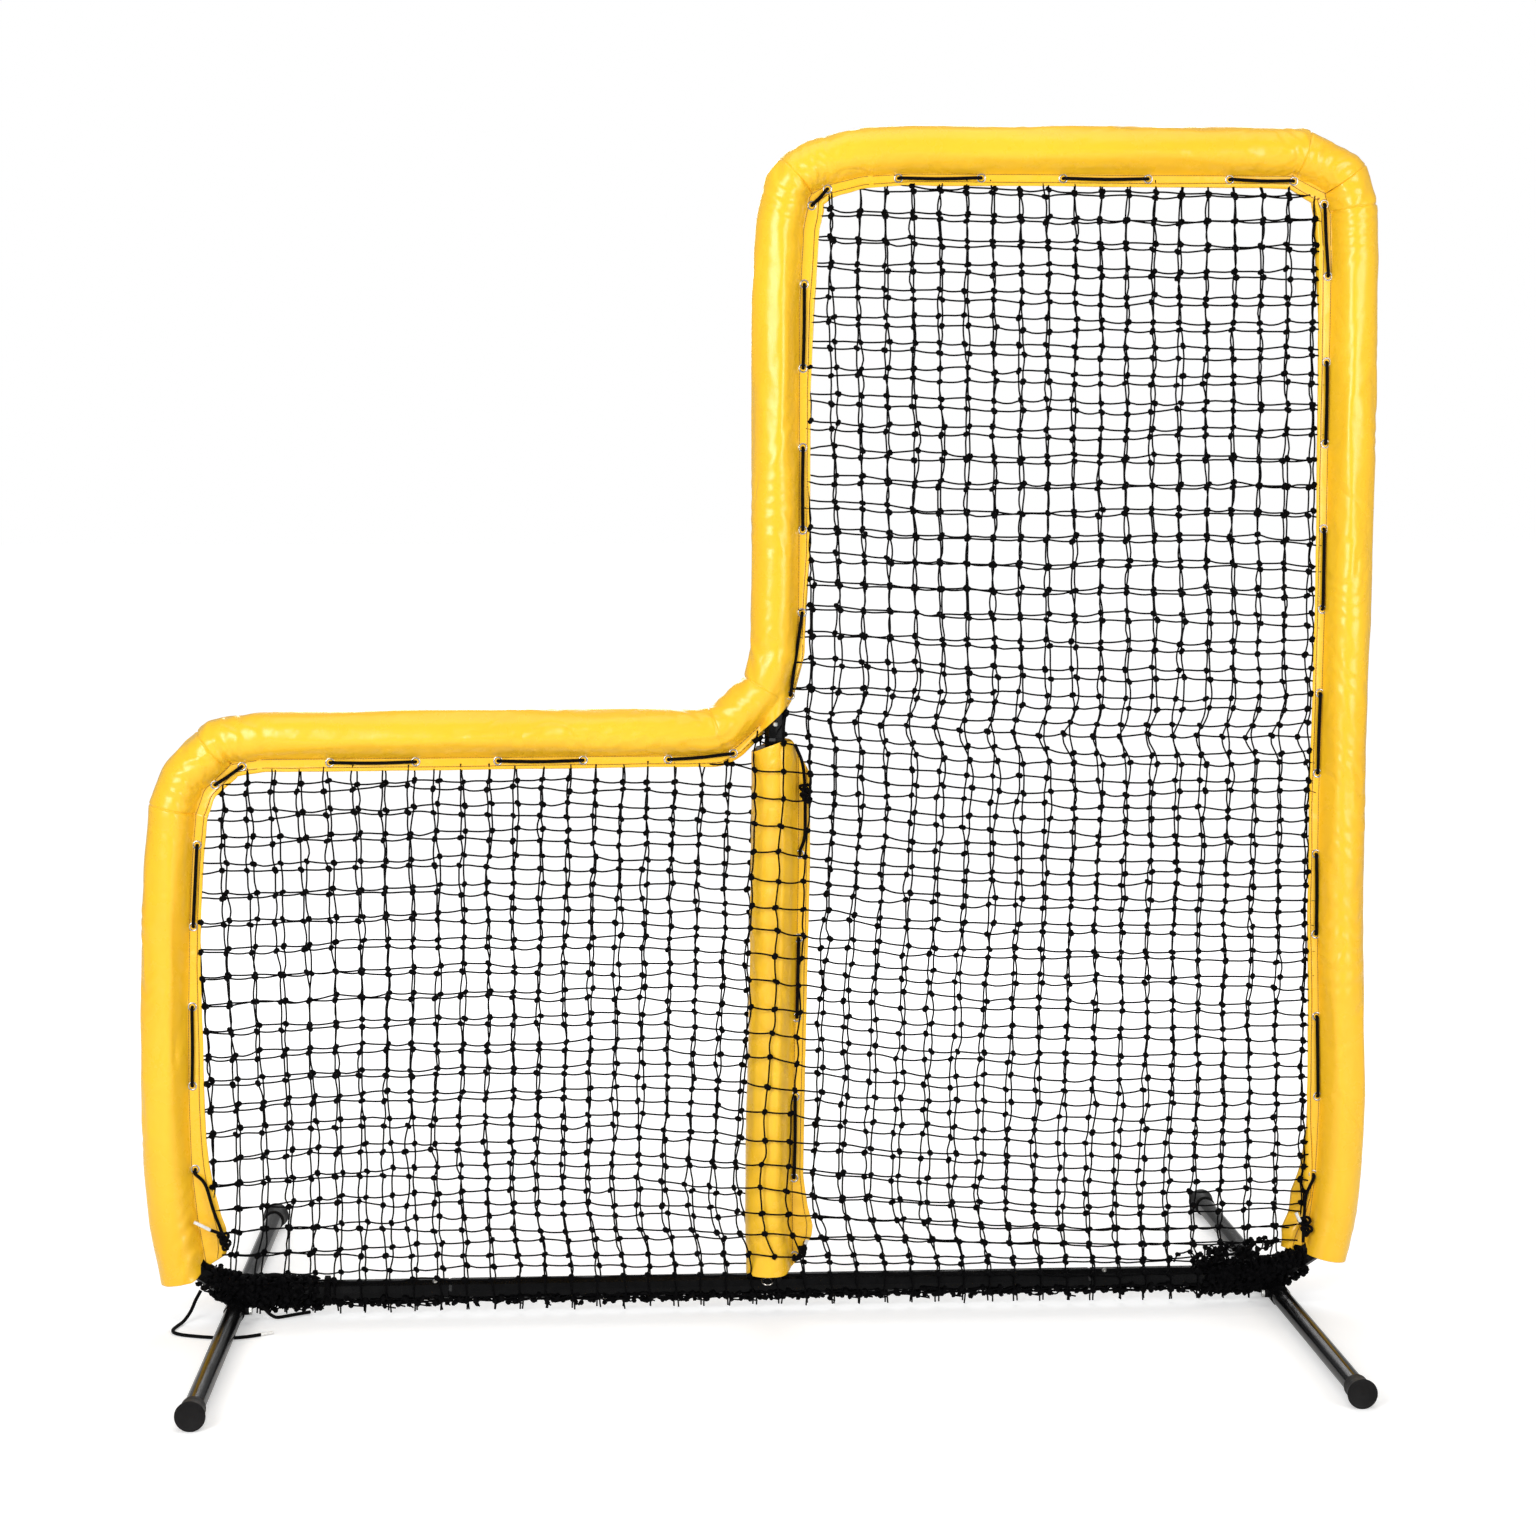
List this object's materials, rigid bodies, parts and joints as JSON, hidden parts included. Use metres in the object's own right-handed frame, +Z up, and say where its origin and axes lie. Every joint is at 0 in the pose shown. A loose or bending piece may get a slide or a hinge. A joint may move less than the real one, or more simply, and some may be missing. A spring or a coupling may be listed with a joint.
{
  "type": "baseball l screen",
  "caption": "Free-standing L-shaped pitching screen: bent steel tube frame, laced padded sleeves, bag net and slide-in floor legs.",
  "frame": {"origin": "on the floor, under the middle of the frame and halfway along the legs", "axes": "+X to the right as the batter's side sees it, along the rail; +Y through the net, away from the viewer and along the legs; +Z up"},
  "size_m": [2.181, 1.2688, 2.1044],
  "materials": {
    "black_powder_coat": "gloss",
    "black_rubber": "matte",
    "zinc_steel": "satin",
    "spring_steel": "satin",
    "yellow_vinyl": "satin",
    "grey_foam": "matte",
    "black_cord": "matte",
    "black_twine": "matte"
  },
  "bodies": {
    "screen": {"bottom_rail": "black_powder_coat", "button_spring_column_foot": "spring_steel", "button_spring_column_top": "spring_steel", "button_spring_left_column": "spring_steel", "button_spring_rail_left": "spring_steel", "button_spring_rail_right": "spring_steel", "button_spring_right_column": "spring_steel", "button_spring_shoulder": "spring_steel", "button_spring_top_bar": "spring_steel", "button_spring_upper_column": "spring_steel", "centre_column": "black_powder_coat", "corner_bottom_left": "black_powder_coat", "corner_bottom_right": "black_powder_coat", "corner_inner": "black_powder_coat", "corner_left_shoulder": "black_powder_coat", "corner_top_left": "black_powder_coat", "corner_top_right": "black_powder_coat", "foam_centre_column": "grey_foam", "foam_left": "grey_foam", "foam_right": "grey_foam", "foam_shoulder": "grey_foam", "foam_top": "grey_foam", "foam_upper_column": "grey_foam", "lace_centre_column": "black_cord", "lace_floor_end": "black_cord", "lace_floor_loop": "black_cord", "lace_rail_end": "black_cord", "lace_round_screen": "black_cord", "net_gather_left": "black_twine", "net_gather_right": "black_twine", "net_left_bay": "black_twine", "net_right_bay": "black_twine", "net_tie": "black_twine", "sleeve_centre_column": "yellow_vinyl", "sleeve_left": "yellow_vinyl", "sleeve_right": "yellow_vinyl", "sleeve_shoulder": "yellow_vinyl", "sleeve_top": "yellow_vinyl", "sleeve_upper_column": "yellow_vinyl"},
    "leg_front_left": {"leg_front_left": "black_powder_coat", "end_cap_front_left": "black_rubber"},
    "set_bolt_front_left": {"set_bolt_front_left": "zinc_steel"},
    "leg_front_right": {"leg_front_right": "black_powder_coat", "end_cap_front_right": "black_rubber"},
    "set_bolt_front_right": {"set_bolt_front_right": "zinc_steel"},
    "leg_rear_left": {"leg_rear_left": "black_powder_coat", "end_cap_rear_left": "black_rubber"},
    "set_bolt_rear_left": {"set_bolt_rear_left": "zinc_steel"},
    "leg_rear_right": {"leg_rear_right": "black_powder_coat", "end_cap_rear_right": "black_rubber"},
    "set_bolt_rear_right": {"set_bolt_rear_right": "zinc_steel"},
    "snap_button_rail_left": {"snap_button_rail_left": "zinc_steel"},
    "snap_button_rail_right": {"snap_button_rail_right": "zinc_steel"},
    "snap_button_left_column": {"snap_button_left_column": "zinc_steel"},
    "snap_button_shoulder": {"snap_button_shoulder": "zinc_steel"},
    "snap_button_upper_column": {"snap_button_upper_column": "zinc_steel"},
    "snap_button_top_bar": {"snap_button_top_bar": "zinc_steel"},
    "snap_button_right_column": {"snap_button_right_column": "zinc_steel"},
    "snap_button_column_foot": {"snap_button_column_foot": "zinc_steel"},
    "snap_button_column_top": {"snap_button_column_top": "zinc_steel"}
  },
  "joints": [
    {"name": "leg_slide_front_left", "type": "slide", "parent": "screen", "child": "leg_front_left", "axis": [0, -1, 0], "range_m": [0, 0.046]},
    {"name": "leg_slide_front_right", "type": "slide", "parent": "screen", "child": "leg_front_right", "axis": [0, -1, 0], "range_m": [0, 0.046]},
    {"name": "leg_slide_rear_left", "type": "slide", "parent": "screen", "child": "leg_rear_left", "axis": [0, 1, 0], "range_m": [0, 0.046]},
    {"name": "leg_slide_rear_right", "type": "slide", "parent": "screen", "child": "leg_rear_right", "axis": [0, 1, 0], "range_m": [0, 0.046]},
    {"name": "bolt_turn_front_left", "type": "hinge", "parent": "screen", "child": "set_bolt_front_left", "pos_m": [-0.935, -0.045, 0.02476], "axis": [1, 0, 0], "continuous": true},
    {"name": "bolt_turn_front_right", "type": "hinge", "parent": "screen", "child": "set_bolt_front_right", "pos_m": [0.935, -0.045, 0.02476], "axis": [-1, 0, 0], "continuous": true},
    {"name": "bolt_turn_rear_left", "type": "hinge", "parent": "screen", "child": "set_bolt_rear_left", "pos_m": [-0.935, 0.045, 0.02476], "axis": [1, 0, 0], "continuous": true},
    {"name": "bolt_turn_rear_right", "type": "hinge", "parent": "screen", "child": "set_bolt_rear_right", "pos_m": [0.935, 0.045, 0.02476], "axis": [-1, 0, 0], "continuous": true},
    {"name": "button_press_rail_left", "type": "slide", "parent": "screen", "child": "snap_button_rail_left", "axis": [0, 0.5, -0.866], "range_m": [0, 0.0052], "stiffness_N_per_m": 2500, "springref_m": -0.002, "deforming": ["button_spring_rail_left"]},
    {"name": "button_press_rail_right", "type": "slide", "parent": "screen", "child": "snap_button_rail_right", "axis": [0, 0.5, -0.866], "range_m": [0, 0.0052], "stiffness_N_per_m": 2500, "springref_m": -0.002, "deforming": ["button_spring_rail_right"]},
    {"name": "button_press_left_column", "type": "slide", "parent": "screen", "child": "snap_button_left_column", "axis": [0, 1, 0], "range_m": [0, 0.0052], "stiffness_N_per_m": 2500, "springref_m": -0.002, "deforming": ["button_spring_left_column"]},
    {"name": "button_press_shoulder", "type": "slide", "parent": "screen", "child": "snap_button_shoulder", "axis": [0, 1, 0], "range_m": [0, 0.0052], "stiffness_N_per_m": 2500, "springref_m": -0.002, "deforming": ["button_spring_shoulder"]},
    {"name": "button_press_upper_column", "type": "slide", "parent": "screen", "child": "snap_button_upper_column", "axis": [0, 1, 0], "range_m": [0, 0.0052], "stiffness_N_per_m": 2500, "springref_m": -0.002, "deforming": ["button_spring_upper_column"]},
    {"name": "button_press_top_bar", "type": "slide", "parent": "screen", "child": "snap_button_top_bar", "axis": [0, 1, 0], "range_m": [0, 0.0052], "stiffness_N_per_m": 2500, "springref_m": -0.002, "deforming": ["button_spring_top_bar"]},
    {"name": "button_press_right_column", "type": "slide", "parent": "screen", "child": "snap_button_right_column", "axis": [0, 1, 0], "range_m": [0, 0.0052], "stiffness_N_per_m": 2500, "springref_m": -0.002, "deforming": ["button_spring_right_column"]},
    {"name": "button_press_column_foot", "type": "slide", "parent": "screen", "child": "snap_button_column_foot", "axis": [0, 1, 0], "range_m": [0, 0.0052], "stiffness_N_per_m": 2500, "springref_m": -0.002, "deforming": ["button_spring_column_foot"]},
    {"name": "button_press_column_top", "type": "slide", "parent": "screen", "child": "snap_button_column_top", "axis": [0, 1, 0], "range_m": [0, 0.0052], "stiffness_N_per_m": 2500, "springref_m": -0.002, "deforming": ["button_spring_column_top"]}
  ]
}
